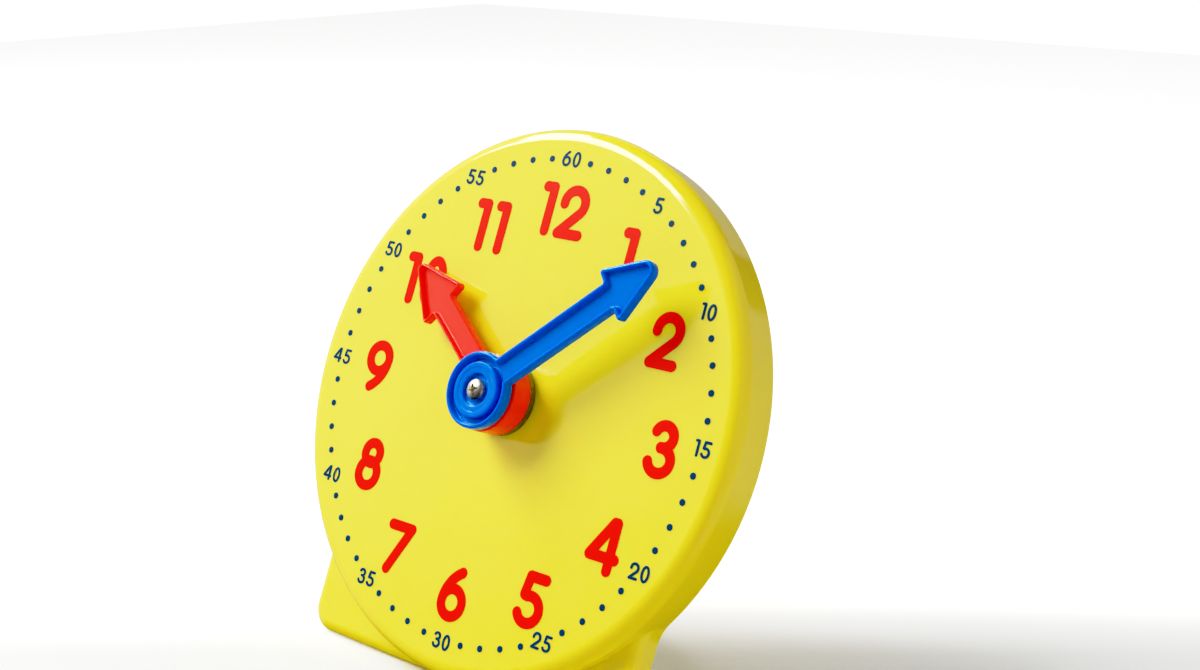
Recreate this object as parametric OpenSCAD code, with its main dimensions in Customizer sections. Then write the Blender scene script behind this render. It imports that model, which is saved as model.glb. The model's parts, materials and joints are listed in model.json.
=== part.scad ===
// Geared teaching clock with a fold-out stand, in millimetres.
// The origin is the middle of the foot's resting face, X to the right, Y to the back, Z up.
// Most pieces are drawn on the dial: x right, y towards 12, z out of the dial face
// towards the reader. place() then leans them back and sets them on the foot.

/* [Case] */
// Outer radius of the case at its back edge
case_r = 50.8; // [50:0.1:52]
// How much the side wall widens towards the front
case_draft = 0.5; // [0:0.1:0.8]
// Depth of the case, dial face to back edge
case_depth = 10; // [10:0.1:11]
// Radius of the round between dial face and side wall
rim_round = 2.8; // [2:0.1:3.2]
// Thickness of the dial plate
dial_t = 2; // [1.9:0.1:2.1]
// Thickness of the side wall
wall_t = 2.2; // [2:0.1:2.4]
// Thickness of the back cover
cover_t = 1.6; // [1.5:0.1:1.7]
// Angle the dial leans back
lean = 23; // [20:0.5:25]

/* [Foot] */
// Width of the foot
foot_w = 79; // [77:0.5:80]
// Distance from the dial centre down to the foot's lower edge
foot_drop = 52.2; // [52:0.1:52.6]
// Distance of the foot's face behind the dial face
foot_setback = 4.8; // [4.4:0.1:5]
// Radius of the foot's lower corners
foot_corner_r = 4.5; // [4:0.1:5]
// Radius of the hollow curve between case and foot
neck_r = 8.2; // [7:0.1:9]
// Radius of the round along the foot's front edges
foot_round = 2.2; // [1.5:0.1:2.3]
// Depth of the flat that the foot rests on
foot_land = 3; // [2.5:0.1:3.2]

/* [Hands] */
// Direction of the minute hand, clockwise from 12
minute_angle = 49; // [0:0.5:359.5]
// Direction of the hour hand, clockwise from 12
hour_angle = 307; // [0:0.5:359.5]
// Length of the minute hand from its centre
minute_len = 42.2; // [40:0.1:43]
// Length of the hour hand from its centre
hour_len = 33.6; // [31:0.1:34]
// Radius of both hubs
hub_r = 7.05; // [6.9:0.05:7.1]
// Width of the raised bead round each hand
bead_w = 0.95; // [0.8:0.05:1]
// Thickness of each hand's arm
arm_t = 1.8; // [1.6:0.1:1.9]
// Depth of the sunk floor inside the bead
sink = 1.1; // [0.9:0.1:1.1]

/* [Gears] */
// Module of all gears
gear_m = 0.8; // [0.76:0.01:0.8]
// Play between teeth, along the pitch circle
backlash = 0.16; // [0.14:0.01:0.2]

/* [Dial print] */
// Height of the hour numerals
numeral_h = 10.2; // [9.6:0.1:10.4]
// Stroke width of the hour numerals
numeral_w = 2; // [1.7:0.1:2.1]
// Height of the minute labels
label_h = 3; // [2.7:0.1:3.1]
// Stroke width of the minute labels
label_w = 0.5; // [0.4:0.05:0.6]
// Radius of the ring of minute dots
dot_ring_r = 45; // [44.8:0.1:45.2]
// Diameter of a minute dot
dot_d = 1.2; // [1:0.05:1.3]
// Thickness of the ink
ink_t = 0.08; // [0.05:0.01:0.12]

/* [Stand] */
// Length of the leg, hinge pin to tip
leg_len = 54; // [53:0.5:55]
// Width of the leg
leg_w = 15; // [13:0.5:16]
// Thickness of the leg
leg_t = 2.2; // [2:0.1:2.4]
// Height of the hinge above the dial centre
hinge_y = 8; // [6:0.5:9]

/* [Hidden] */
$fn = 96;

// Case
back_z = -case_depth;
cover_z = back_z + cover_t;          // inner face of the back cover
rabbet = 1.2;                        // how far the cover is let into the wall
cover_gap = 0.1;
cover_drop = foot_drop - 2.5;        // lower edge of the cover
sill = 1.2;                          // ledge under the cover's lower edge
scoop_r = 10;                        // finger scoop under the folded leg's tip
scoop_d = 0.8;
scoop_up = 3;                        // from the leg's tip up to the middle of the scoop
centre_h = case_depth * sin(lean) + foot_drop * cos(lean) - foot_land * sin(lean) * cos(lean);
rear_y = (centre_h - case_depth * sin(lean)) / cos(lean);  // foot's back edge on the floor
land_back = case_depth * cos(lean) - rear_y * sin(lean);
centre_y = foot_land / 2 - land_back;
neck_x = foot_w / 2 + neck_r;
neck_y = -sqrt(pow(case_r + neck_r, 2) - pow(neck_x, 2));

// Fastener and bearing places on the dial plane
cover_posts = [[36, 26], [-36, 26], [31, -31], [-31, -31]];
bridge_posts = [[23.5, 13], [-23.5, 13], [0, -25]];
cover_post_r = 3;
cover_pilot_r = 1.1;
bridge_post_r = 2.6;
bridge_pilot_r = 0.8;
axle_post_r = 2.2;
post_root = 0.5;                     // how deep the posts run into the dial plate

// Screws of the cover and the bridge
cover_hole_r = 1.5;
cover_sink_r = 2.8;                  // flat-bottomed sink for the head
cover_sink_d = 0.7;
cover_head_r = 2.4;
cover_head_h = 1;
cover_shank_r = 1.05;
cover_shank_l = 5;
bridge_head_r = 2;
bridge_hole_r = 1;
bridge_shank_l = 3.2;

// Tooth counts: two steps of 3 to 1 and 4 to 1 turn the hour hand once for 12 turns
pinion_n = 15;
wheel_n = 45;
small_n = 12;
hour_n = 48;
pressure = 20;                       // pressure angle of the teeth
pinion_shift = 0.25;                 // profile shifts, in modules
small_shift = 0.35;
hour_windows = [6, 11.2, 3.4];       // round windows in a wheel: count, ring radius, radius
wheel_windows = [5, 10.8, 3.2];

// Gear train, layer by layer behind the dial plate
centre_d = gear_m * (pinion_n + wheel_n) / 2;
hour_top = -2.6;                     // front of the hour wheel
gear_t = 1.6;
wheel_top = hour_top - gear_t - 0.3; // front of the intermediate wheel
bridge_top = -6.7;
bridge_t = 1.2;
bridge_back = bridge_top - bridge_t;
axle_r = 1;
arbor_r = 2.5;
journal_r = 2;
pinion_z = -6.2;                     // back of the minute pinion
pipe_r = 3.9;
pipe_end = 5.6;
bush_r = 5.2;
bush_flange_r = 7;
seat_r = 6.2;                        // raised ring of the dial under the washer
fit = 0.05;                          // radial running clearance
spring_r = 4.6;
spring_t = 0.2;

// Hand stack, in front of the dial plate
washer_r = 6.9;
washer_z = 0.2;
washer_t = 1.3;
hour_hub_z = 1.75;
hour_arm_z = 2.4;
hour_hub_t = 4.45;
spacer_r = 4.6;
hub_step = 0.1;                      // the hour hand's hub is this much larger all round
hub_boss_r = 4.8;                    // low boss under the hour hand's hub
hub_boss_h = 0.1;
minute_hub_z = 6.8;
minute_hub_t = 2.1;
minute_top = minute_hub_z + minute_hub_t;
groove_in = 5.07;                    // ring groove in the minute hand's hub
groove_out = 5.85;
recess_r = 2.95;                     // sink for the screw's head
recess_z = 8.1;
recess_rim = 3.8;
tang_r = 1.4;                        // flatted end of the arbor inside the minute hand
tang_flat = 1;                       // from the middle to each flat
screw_r = 2;
screw_h = 1.4;
screw_l = 5.5;
shank_r = 0.75;
pilot_r = 0.78;

// Arrow outlines: half width of the shaft, start of the head, radius of the tip, slope of the head
minute_head = [2.78, 32, 2, 22.5];
hour_head = [2.65, 22.8, 1.3, 24.5];

// Numerals are printed a little off an even ring, so each has its own place
numeral_places = [
    [19.4, 29.5], [32, 16.35], [36.9, -1.8], [30.4, -20], [17.7, -33], [-0.1, -36.5],
    [-16.8, -32.1], [-29.7, -18.7], [-34.7, -0.25], [-28.7, 17.9], [-15.7, 30.4], [1.15, 35.5]];
label_ring_r = 45.2;

// Stand
pin_r = 1;
barrel_r = 2.1;
hinge_z = back_z - 2.4;
tip_r = leg_t / 2;
hinge_h = centre_h + hinge_y * cos(lean) + hinge_z * sin(lean);
open_angle = lean + acos((hinge_h - tip_r) / leg_len);
lug_t = 3;
lug_r = 2.7;
lug_x = leg_w / 2 + 0.3;
heel_t = 1.6;
dish_rim = 2;                        // border round the leg's hollow side
dish_floor = 0.22;                   // from the leg's middle plane
heel_len = (back_z - hinge_z - 0.05 - heel_t / 2 * cos(open_angle)) / sin(open_angle);

// ---------------------------------------------------------------- helpers

// Dial drawing to standing clock
module place() {
    translate([0, centre_y, centre_h]) rotate([90 - lean, 0, 0]) children();
}

// Turns a drawing that points to 12 clockwise round the dial centre
module at_time(angle) {
    rotate([0, 0, -angle]) children();
}

module disc(r, z0, z1) {
    translate([0, 0, z0]) cylinder(r = r, h = z1 - z0);
}

module ring_solid(r_in, r_out, z0, z1) {
    difference() {
        disc(r_out, z0, z1);
        disc(r_in, z0 - 1, z1 + 1);
    }
}

module at_each(places) {
    for (p = places) translate([p[0], p[1], 0]) children();
}

function turn(a) = [cos(a), sin(a)];
function unit(v) = v / norm(v);

// Corners p = [x, y, radius], rounded by arcs of a few points
function rounded(corners) = [
    for (i = [0 : len(corners) - 1])
        let (
            n = len(corners),
            p = corners[i],
            a = corners[(i + n - 1) % n],
            b = corners[(i + 1) % n],
            here = [p[0], p[1]],
            to_a = unit([a[0], a[1]] - here),
            to_b = unit([b[0], b[1]] - here),
            half = acos(max(-1, min(1, to_a * to_b))) / 2,
            mid = here + unit(to_a + to_b) * p[2] / sin(half),
            from_mid = here + to_a * p[2] / tan(half) - mid,
            cross = to_a[0] * to_b[1] - to_a[1] * to_b[0],
            sweep = (180 - 2 * half) * (cross < 0 ? 1 : -1),
            steps = p[2] == 0 ? 0 : 8)
        for (s = [0 : steps])
            let (t = steps == 0 ? 0 : sweep * s / steps)
            p[2] == 0 ? here : mid + [
                from_mid[0] * cos(t) - from_mid[1] * sin(t),
                from_mid[0] * sin(t) + from_mid[1] * cos(t)]];

// ---------------------------------------------------------------- case

// Outline of case and foot, drawn in by inset, with its lower edge at -drop
module outline(inset, drop) {
    half = foot_w / 2 - inset;
    r = foot_corner_r - inset * 0.6;
    circle(r = case_r - inset);
    translate([-half, r - drop]) square([2 * half, drop - r + neck_y]);
    translate([r - half, -drop]) square([2 * (half - r), 2 * r]);
    for (s = [-1, 1]) {
        translate([s * (half - r), r - drop]) circle(r = r);
        difference() {
            polygon([[0, 0], [s * neck_x, neck_y], [0, neck_y]]);
            translate([s * neck_x, neck_y]) circle(r = neck_r + inset);
        }
    }
}

module slab(z0, z1, inset, drop) {
    translate([0, 0, z0]) linear_extrude(z1 - z0) outline(inset, drop);
}

// Points of a quarter round of radius r about a centre, from angle a0 to a0 + step * 6
function quarter(centre, r, a0, step) = [for (i = [0 : 6]) centre + r * turn(a0 + step * i)];

// Side view of the foot, with its lower front edge rounded
module foot_side() {
    edge = quarter([-foot_setback - foot_round, foot_round - foot_drop], foot_round, -90, 15);
    rotate([0, -90, 0]) translate([0, 0, -60]) linear_extrude(120)
        polygon(concat([[-foot_setback, 0], [back_z, 0], [back_z, -foot_drop]], edge));
}

// Plan view of the foot, with its upright front edges rounded
module foot_plan() {
    edge = quarter([foot_w / 2 - foot_round, -foot_setback - foot_round], foot_round, 90, -15);
    right = concat(edge, [[60, -foot_setback - foot_round], [60, back_z]]);
    left = [for (i = [len(right) - 1 : -1 : 0]) [-right[i][0], right[i][1]]];
    rotate([90, 0, 0]) linear_extrude(60) polygon(concat(right, left));
}

module foot_block() {
    intersection() {
        slab(back_z, -foot_setback, 0, foot_drop);
        foot_side();
        foot_plan();
    }
}

// Round body of the case, turned about the dial's axis
module drum() {
    front_r = case_r + case_draft;
    rim = [for (i = [0 : 10]) [front_r - rim_round, -rim_round] + rim_round * turn(9 * i)];
    rotate_extrude() polygon(concat([[0, back_z], [case_r, back_z]], rim, [[0, 0]]));
}

// Everything of the case that is drawn on the dial
module case_moulding() {
    difference() {
        union() {
            difference() {
                union() {
                    drum();
                    foot_block();
                }
                disc(case_r - wall_t, back_z - 1, -dial_t);
                slab(back_z - 1, -foot_setback - wall_t, wall_t, cover_drop - sill);
                slab(back_z - 1, cover_z, rabbet, cover_drop);
            }
            disc(seat_r, -0.5, washer_z);
            at_each(cover_posts) disc(cover_post_r, cover_z, -dial_t + post_root);
            at_each(bridge_posts) disc(bridge_post_r, bridge_top, -dial_t + post_root);
            translate([0, centre_d, 0]) disc(axle_post_r, hour_top + 0.1, -dial_t + post_root);
        }
        disc(bush_r, -dial_t - 1, 1);
        at_each(cover_posts) disc(cover_pilot_r, cover_z - 1, -dial_t);
        at_each(bridge_posts) disc(bridge_pilot_r, bridge_top - 1, -dial_t);
        translate([0, centre_d, 0]) disc(axle_r, hour_top - 1, -dial_t / 2);
    }
}

module front_case() {
    color([0.93, 0.89, 0.2]) difference() {
        place() case_moulding();
        // the floor cuts the flat that the foot rests on
        translate([-100, -100, -50]) cube([200, 200, 50]);
    }
}

module back_cover() {
    color([0.88, 0.84, 0.18]) place() difference() {
        union() {
            slab(back_z, cover_z, rabbet + cover_gap, cover_drop - cover_gap);
            for (s = [-1, 1]) translate([s * (lug_x + lug_t / 2), hinge_y, hinge_z]) {
                rotate([0, 90, 0]) cylinder(r = lug_r, h = lug_t, center = true);
                translate([-lug_t / 2, -lug_r, 0]) cube([lug_t, 2 * lug_r, back_z - hinge_z + 0.5]);
            }
        }
        translate([0, hinge_y, hinge_z]) rotate([0, 90, 0]) cylinder(r = pin_r, h = 60, center = true);
        at_each(cover_posts) {
            disc(cover_hole_r, back_z - 1, cover_z + 1);
            disc(cover_sink_r, back_z - 1, back_z + cover_sink_d);
        }
        translate([0, scoop_up - leg_len + hinge_y, back_z + scoop_d - scoop_r]) sphere(r = scoop_r);
    }
}

// Pan-head screw with a cross recess: underside of the head at z = 0, head towards +z
module pan_screw(head_r, head_h, shank, length) {
    wing = [head_r * 1.2, head_r * 0.28, head_h];
    rim = [for (i = [0 : 6]) [head_r - head_h / 2, head_h / 2] + head_h / 2 * turn(15 * i)];
    difference() {
        rotate_extrude() polygon(concat([[0, 0], [head_r, 0]], rim, [[0, head_h]]));
        for (a = [0, 90]) rotate(a) translate([-wing[0] / 2, -wing[1] / 2, head_h * 0.45]) cube(wing);
    }
    translate([0, 0, -length]) cylinder(r = shank, h = length + 0.1);
}

module cover_screws() {
    color("silver") place() at_each(cover_posts)
        translate([0, 0, back_z + cover_sink_d]) mirror([0, 0, 1])
            pan_screw(cover_head_r, cover_head_h, cover_shank_r, cover_shank_l);
}

// ---------------------------------------------------------------- gears

// Angle between an involute's start and its point at radius q, in degrees
function involute(base, q) = 180 / PI * tan(acos(base / q)) - acos(base / q);

// Involute gear with its first tooth along +x; shift moves the tooth profile outwards
module gear_shape(n, shift) {
    pitch_r = gear_m * n / 2;
    base = pitch_r * cos(pressure);
    tip = pitch_r + gear_m * (0.95 + shift);
    root = pitch_r - gear_m * (1.25 - shift);
    start = max(base, root);
    half = 90 / n + 180 / PI * (2 * shift * gear_m * tan(pressure) - backlash / 2) / (2 * pitch_r)
        + involute(base, pitch_r);
    steps = 5;
    flank = [for (i = [0 : steps])
        let (q = start + (tip - start) * i / steps) [q, half - involute(base, q)]];
    tooth = concat(
        [[root, half - involute(base, start)]], flank,
        [for (i = [steps : -1 : 0]) [flank[i][0], -flank[i][1]]],
        [[root, involute(base, start) - half]]);
    polygon([for (k = [0 : n - 1], p = tooth) p[0] * turn(360 * k / n - p[1])]);
}

module gear(n, shift, z0, z1, phase) {
    translate([0, 0, z0]) rotate(phase) linear_extrude(z1 - z0) gear_shape(n, shift);
}

// Round windows that lighten a wheel
module windows(w) {
    for (k = [0 : w[0] - 1]) rotate(360 * k / w[0]) translate([0, w[1], 0])
        cylinder(r = w[2], h = 30, center = true);
}

module hour_wheel() {
    color("white") place() difference() {
        union() {
            gear(hour_n, -small_shift, hour_top - gear_t, hour_top, 90 + 180 / hour_n);
            disc(pipe_r, hour_top - gear_t, pipe_end);
        }
        disc(arbor_r + fit, -20, 20);
        windows(hour_windows);
    }
}

// Flatted end of the arbor, or with some play the hole that it keys into
module tang(z0, z1, play) {
    intersection() {
        disc(tang_r + play, z0, z1);
        translate([-tang_flat - play, -5, z0]) cube([2 * (tang_flat + play), 10, z1 - z0]);
    }
}

module minute_arbor() {
    color("white") place() difference() {
        union() {
            disc(journal_r, bridge_back, pinion_z);
            gear(pinion_n, pinion_shift, pinion_z, wheel_top + 0.1, 90);
            disc(arbor_r, pinion_z, minute_hub_z);
            at_time(minute_angle) tang(minute_hub_z - 1, recess_z - fit, 0);
        }
        disc(pilot_r, 1.5, 20);
    }
}

module intermediate_wheel() {
    color("ivory") place() translate([0, centre_d, 0]) difference() {
        union() {
            gear(small_n, small_shift, wheel_top - 0.1, hour_top, -90);
            gear(wheel_n, -pinion_shift, wheel_top - gear_t, wheel_top, -90 + 180 / wheel_n);
            disc(3, bridge_top + 0.1, wheel_top);
        }
        disc(axle_r + fit, -20, 20);
        windows(wheel_windows);
    }
}

module intermediate_axle() {
    color("silver") place() translate([0, centre_d, 0]) disc(axle_r, bridge_back, -dial_t / 2);
}

module gear_bridge() {
    bar_w = 9;
    color("gainsboro") place() difference() {
        translate([0, 0, bridge_back]) linear_extrude(bridge_t) {
            for (p = bridge_posts) translate(p) circle(d = bar_w);
            translate([0, centre_d]) circle(d = bar_w);
            translate([bridge_posts[1][0], bridge_posts[1][1] - bar_w / 2])
                square([2 * bridge_posts[0][0], bar_w]);
            translate([-bar_w / 2, bridge_posts[2][1]]) square([bar_w, centre_d - bridge_posts[2][1]]);
        }
        disc(journal_r + fit, -20, 20);
        translate([0, centre_d, 0]) disc(axle_r, -20, 20);
        at_each(bridge_posts) {
            disc(bridge_hole_r, -20, 20);
            countersink();
        }
    }
}

// Cone of a countersunk head, open to the back of the bridge
module countersink() {
    translate([0, 0, bridge_back]) cylinder(r1 = bridge_head_r, r2 = bridge_hole_r, h = 1);
}

module bridge_screws() {
    color("silver") place() at_each(bridge_posts) difference() {
        union() {
            countersink();
            disc(bridge_pilot_r - fit, bridge_back, bridge_top + bridge_shank_l);
        }
        for (a = [0, 90]) rotate(a) translate([0, 0, bridge_back])
            cube([bridge_head_r * 1.1, 0.5, 1], center = true);
    }
}

// Shallow cone of spring steel between pinion and bridge
module friction_spring() {
    color("dimgray") place() rotate_extrude() polygon([
        [journal_r + 0.1, pinion_z - fit], [spring_r, bridge_top + spring_t],
        [spring_r, bridge_top], [journal_r + 0.1, pinion_z - fit - spring_t]]);
}

module dial_bush() {
    color("goldenrod") place() difference() {
        union() {
            disc(bush_r, -dial_t - 0.1, washer_z + washer_t + 0.1);
            disc(bush_flange_r, -dial_t - 0.5, -dial_t);
        }
        disc(pipe_r + fit, -20, 20);
    }
}

module dial_washer() {
    color("gray") place() ring_solid(bush_r + 0.1, washer_r, washer_z, washer_z + washer_t);
}

// ---------------------------------------------------------------- hands

// Outline of an arrow hand that points to 12, drawn in by inset
function arrow(inset, head, length) =
    let (
        shaft = head[0],
        back = head[1],
        tip = head[2],
        slope = head[3],
        apex = length - tip + (tip - inset) / sin(slope),
        b = back + inset,
        h = (apex - b) * tan(slope),
        s = shaft - inset,
        barb = max(0.75 - inset, 0.2),
        inner = 0.4 + inset)
    rounded([
        [-s, 0, 0], [s, 0, 0], [s, b, inner], [h, b, barb], [0, apex, max(tip - inset, 0.3)],
        [-h, b, barb], [-s, b, inner]]);

function minute_arrow(inset) = arrow(inset, minute_head, minute_len);
function hour_arrow(inset) = arrow(inset, hour_head, hour_len);

// Floor that is sunk into a hand, outside its hub
module sunk_floor(points, hub, top) {
    difference() {
        translate([0, 0, top - sink]) linear_extrude(5) polygon(points);
        disc(hub, top - sink - 1, top + 6);
    }
}

module minute_hand() {
    color([0.02, 0.42, 0.9]) place() at_time(minute_angle) difference() {
        union() {
            disc(hub_r, minute_hub_z, minute_top);
            translate([0, 0, minute_top - arm_t]) linear_extrude(arm_t) polygon(minute_arrow(0));
        }
        sunk_floor(minute_arrow(bead_w), groove_out - 0.1, minute_top);
        ring_solid(groove_in, groove_out, minute_top - sink - 0.4, 20);
        ring_solid(recess_r, recess_rim, minute_top - 0.12, 20);
        disc(recess_r, recess_z, 20);
        tang(minute_hub_z - 1, recess_z + 1, fit);
    }
}

module hour_hand() {
    top = hour_hub_z + hour_hub_t;
    arm_top = hour_arm_z + arm_t;
    color([1, 0.25, 0.18]) place() at_time(hour_angle) difference() {
        union() {
            disc(hub_r + hub_step, hour_hub_z, top);
            disc(hub_boss_r, hour_hub_z - hub_boss_h, top);
            translate([0, 0, hour_arm_z]) linear_extrude(arm_t) polygon(hour_arrow(0));
        }
        sunk_floor(hour_arrow(bead_w - 0.2), hub_r + hub_step, arm_top);
        disc(pipe_r, -20, 20);
    }
}

module hand_spacer() {
    color("whitesmoke") place()
        ring_solid(arbor_r + fit, spacer_r, hour_hub_z + hour_hub_t + fit, minute_hub_z - fit);
}

module hand_screw() {
    color("silver") place() at_time(minute_angle) translate([0, 0, recess_z])
        pan_screw(screw_r, screw_h, shank_r, screw_l);
}

// ---------------------------------------------------------------- dial print

// Straight stroke with round ends
module bar(p, q, w) {
    d = q - p;
    translate(p) circle(d = w);
    translate(q) circle(d = w);
    translate(p) rotate(atan2(d[1], d[0])) translate([0, -w / 2]) square([norm(d), w]);
}

// Stroke along part of an oval, with round ends
module bend(c, r, a0, a1, w) {
    steps = 24;
    angles = [for (i = [0 : steps]) a0 + (a1 - a0) * i / steps];
    outer = [for (a = angles) c + [(r[0] + w / 2) * cos(a), (r[1] + w / 2) * sin(a)]];
    inner = [for (i = [steps : -1 : 0])
        c + [(r[0] - w / 2) * cos(angles[i]), (r[1] - w / 2) * sin(angles[i])]];
    polygon(concat(outer, inner));
    for (a = [a0, a1]) translate(c + [r[0] * cos(a), r[1] * sin(a)]) circle(d = w);
}

// Closed oval stroke
module loop(c, r, w) {
    angles = [for (i = [0 : 47]) 7.5 * i];
    translate(c) difference() {
        polygon([for (a = angles) [(r[0] + w / 2) * cos(a), (r[1] + w / 2) * sin(a)]]);
        polygon([for (a = angles) [(r[0] - w / 2) * cos(a), (r[1] - w / 2) * sin(a)]]);
    }
}

// Left and right ends of each digit's centre line, on a digit 8.2 tall
digit_ends = [
    [-2.2, 2.2], [-1.75, 0], [-2.5, 2.5], [-2.3, 2.5], [-2.75, 2.9],
    [-2.3, 2.5], [-2.5, 2.5], [-2.6, 2.6], [-2.4, 2.4], [-2.5, 2.5]];

// One digit drawn with a stroke of width w, k times as large as the 8.2 tall centre line
module digit(n, k, w) {
    if (n == 0) loop([0, 0], k * [2.2, 4.1], w);
    if (n == 1) {
        bar(k * [-1.75, 4.1], k * [0, 4.1], w);
        bar(k * [0, 4.1], k * [0, -4.1], w);
    }
    if (n == 2) {
        bend(k * [0, 1.65], k * [2.45, 2.45], -45, 185, w);
        bar(k * [1.73, -0.08], k * [-2.5, -4.1], w);
        bar(k * [-2.5, -4.1], k * [2.5, -4.1], w);
    }
    if (n == 3) {
        bend(k * [0, 2.2], k * [2, 1.9], -90, 158, w);
        bend(k * [0.1, -1.9], k * [2.4, 2.2], -165, 90, w);
        bar(k * [-0.2, 0.3], k * [0.1, 0.3], w);
    }
    if (n == 4) {
        bar(k * [1.8, 4.1], k * [1.8, -4.1], w);
        bar(k * [1.2, 4.1], k * [-2.75, -2], w);
        bar(k * [-2.75, -2], k * [2.9, -2], w);
    }
    if (n == 5) {
        bar(k * [-1.1, 4.1], k * [2.5, 4.1], w);
        bar(k * [-1.1, 4.1], k * [-1.6, 0.75], w);
        bar(k * [-1.6, 0.75], k * [-0.86, 0.6], w);
        bend(k * [0, -1.65], k * [2.5, 2.4], -155, 110, w);
    }
    if (n == 6) {
        loop(k * [0, -1.6], k * [2.5, 2.5], w);
        bend(k * [6, -1.6], k * [8.5, 7.09], 126.4, 180, w);
    }
    if (n == 7) {
        bar(k * [-2.6, 4.1], k * [2.6, 4.1], w);
        bar(k * [2.6, 4.1], k * [-1.5, -4.1], w);
    }
    if (n == 8) {
        loop(k * [0, 2.15], k * [1.95, 1.95], w);
        loop(k * [0, -1.7], k * [2.4, 2.4], w);
    }
    if (n == 9) rotate(180) digit(6, k, w);
}

// A number of one or two digits, centred
module number(value, k, w) {
    gap = 3.2;
    ones = value % 10;
    tens = floor(value / 10);
    if (tens == 0) digit(ones, k, w);
    else {
        left = digit_ends[tens];
        right = digit_ends[ones];
        half = (left[1] - left[0] + right[1] - right[0] + gap) / 2;
        translate([-k * (half + left[0]), 0]) digit(tens, k, w);
        translate([k * (half - right[1]), 0]) digit(ones, k, w);
    }
}

module hour_numerals() {
    color([1, 0.2, 0.08]) place() for (h = [1 : 12]) translate(numeral_places[h - 1])
        linear_extrude(ink_t) number(h, (numeral_h - numeral_w) / 8.2, numeral_w, $fn = 32);
}

module minute_numerals() {
    color([0, 0.35, 0.6]) place() for (m = [5 : 5 : 60])
        translate([label_ring_r * sin(6 * m), label_ring_r * cos(6 * m), 0])
            linear_extrude(ink_t) number(m, (label_h - label_w) / 8.2, label_w, $fn = 16);
}

module minute_dots() {
    color([0, 0.35, 0.6]) place() for (m = [1 : 59]) if (m % 5 != 0)
        at_time(6 * m) translate([0, dot_ring_r, 0]) cylinder(d = dot_d, h = ink_t, $fn = 24);
}

// ---------------------------------------------------------------- stand

// The leg as it lies when folded: hinge at the origin, tip towards -y
module leg_shape() {
    tip_w = leg_w - 4;
    difference() {
        union() {
            rotate([0, 90, 0]) cylinder(r = barrel_r, h = leg_w, center = true);
            translate([0, 0, -leg_t / 2]) linear_extrude(leg_t) polygon([
                [-leg_w / 2, 0], [-leg_w / 2, -10], [-tip_w / 2, -leg_len],
                [tip_w / 2, -leg_len], [leg_w / 2, -10], [leg_w / 2, 0]]);
            translate([0, -leg_len, 0]) rotate([0, 90, 0]) cylinder(r = tip_r, h = tip_w, center = true);
            translate([1 - leg_w / 2, 0, -heel_t / 2]) cube([leg_w - 2, heel_len, heel_t]);
        }
        rotate([0, 90, 0]) cylinder(r = pin_r + fit, h = 60, center = true);
        translate([dish_rim - tip_w / 2, 5 - leg_len, -leg_t])
            cube([tip_w - 2 * dish_rim, leg_len - 12, leg_t - dish_floor]);
    }
}

module stand_leg() {
    color([0.88, 0.84, 0.18]) place() translate([0, hinge_y, hinge_z])
        rotate([open_angle, 0, 0]) leg_shape();
}

module stand_pin() {
    half = lug_x + lug_t;
    color("silver") place() translate([0, hinge_y, hinge_z]) rotate([0, 90, 0]) {
        translate([0, 0, -half - 0.3]) cylinder(r = pin_r, h = 2 * half + 0.6);
        translate([0, 0, half + 0.05]) cylinder(r = 1.7, h = 0.6);
    }
}

// ---------------------------------------------------------------- run list

front_case();
back_cover();
cover_screws();
gear_bridge();
bridge_screws();
dial_bush();
dial_washer();
hour_numerals();
minute_numerals();
minute_dots();
minute_arbor();
hour_wheel();
intermediate_wheel();
intermediate_axle();
friction_spring();
hour_hand();
minute_hand();
hand_spacer();
hand_screw();
stand_leg();
stand_pin();
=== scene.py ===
# Geared teaching clock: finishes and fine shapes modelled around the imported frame.
# Pieces are drawn in millimetres on the dial: x right, y towards 12, z out of the dial face.
import json
from math import acos, asin, atan2, cos, degrees, pi, radians, sin, sqrt, tan

import bmesh
import bpy
from mathutils import Matrix, Vector


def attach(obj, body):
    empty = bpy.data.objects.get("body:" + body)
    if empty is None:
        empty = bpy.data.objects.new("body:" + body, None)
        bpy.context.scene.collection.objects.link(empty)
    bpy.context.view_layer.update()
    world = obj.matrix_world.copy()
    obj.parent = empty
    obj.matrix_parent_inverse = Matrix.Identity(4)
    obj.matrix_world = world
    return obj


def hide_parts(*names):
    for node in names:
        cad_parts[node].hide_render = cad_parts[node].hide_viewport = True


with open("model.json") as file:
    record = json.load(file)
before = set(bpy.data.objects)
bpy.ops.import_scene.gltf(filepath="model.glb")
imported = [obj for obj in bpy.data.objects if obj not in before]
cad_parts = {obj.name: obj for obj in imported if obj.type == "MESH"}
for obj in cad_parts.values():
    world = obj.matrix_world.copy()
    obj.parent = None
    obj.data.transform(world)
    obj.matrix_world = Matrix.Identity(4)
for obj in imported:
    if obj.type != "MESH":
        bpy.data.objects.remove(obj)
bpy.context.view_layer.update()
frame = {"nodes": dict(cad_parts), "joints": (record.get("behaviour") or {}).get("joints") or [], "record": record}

# The hands' axis says where the dial is and how far it leans back
spindle = next(j for j in frame["joints"] if j["name"] == "minute_spin")
hinge = next(j for j in frame["joints"] if j["name"] == "stand_fold")
lean = asin(-spindle["axis"][2])
mm = 0.001
onDial = Matrix.Translation(spindle["pos_m"]) @ Matrix.Rotation(pi / 2 - lean, 4, "X") @ Matrix.Scale(mm, 4)
hingeOnDial = onDial.inverted() @ Vector(hinge["pos_m"])


cameraView = {
    "place": (0.22781, -0.21916, 0.14587),
    "heading": 41.58,    # turned left of straight back
    "tilt": -14.38,      # looking down
    "lens": 55.91,
}


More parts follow.
